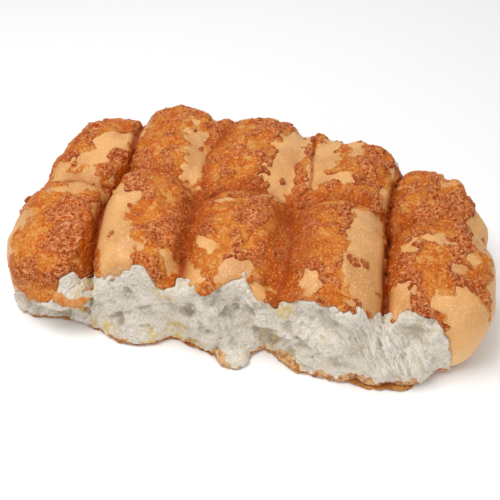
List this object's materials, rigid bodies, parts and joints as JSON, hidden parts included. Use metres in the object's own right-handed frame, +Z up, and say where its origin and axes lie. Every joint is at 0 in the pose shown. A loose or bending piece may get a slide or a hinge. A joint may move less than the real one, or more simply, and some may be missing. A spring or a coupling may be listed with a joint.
{
  "type": "pull-apart cheese roll batch",
  "caption": "Tear-and-share batch of soft white rolls baked together in rows, topped with melted browned cheese, crumb bare where it was torn from the bake.",
  "frame": {"origin": "on the flat base, under the valley between the two rows of rolls, at the middle of the middle column", "axes": "+Z up through the crust, +X along the rows of rolls, -Y towards the torn front where the crumb is bare"},
  "size_m": [0.313, 0.194, 0.0732],
  "materials": {
    "baked_crust": "matt golden bread crust",
    "melted_cheese": "slightly glossy browned cheese",
    "bread_crumb": "matt torn white crumb"
  },
  "bodies": {
    "root": {"roll_batch": "baked_crust"}
  },
  "joints": []
}
